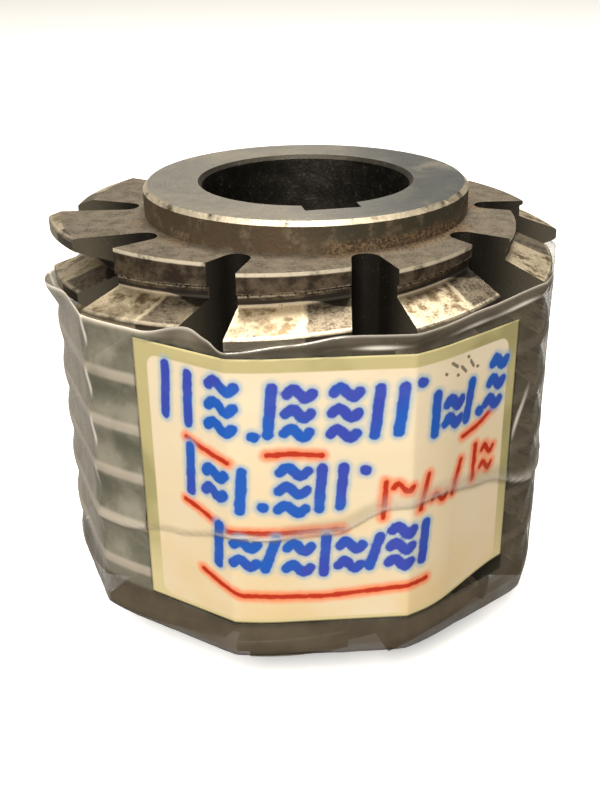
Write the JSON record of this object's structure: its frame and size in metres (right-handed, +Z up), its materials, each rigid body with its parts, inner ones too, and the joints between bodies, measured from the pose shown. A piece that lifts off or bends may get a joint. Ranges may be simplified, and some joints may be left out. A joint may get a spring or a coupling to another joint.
{
  "type": "gear hob",
  "caption": "Bore-mounted gear hob with backed-off rack teeth, straight gashes and a keyway, carrying a paper label under clear tape.",
  "frame": {"origin": "centre of the lower hub face, on the bore axis", "axes": "+Z up along the bore axis, +X to the right of the labelled side, -Y out of the labelled side"},
  "size_m": [0.0806, 0.0782, 0.07],
  "materials": {
    "hob_steel": "hardened tool steel, ground on the faces, oiled and dirt-stained in the gashes",
    "label_paper": "cream self-adhesive paper with a straw border",
    "tape_film": "clear packing film, glossy and wrinkled"
  },
  "bodies": {
    "root": {"gear_hob": "hob_steel", "paper_label": "label_paper", "clear_tape": "tape_film"}
  },
  "joints": []
}
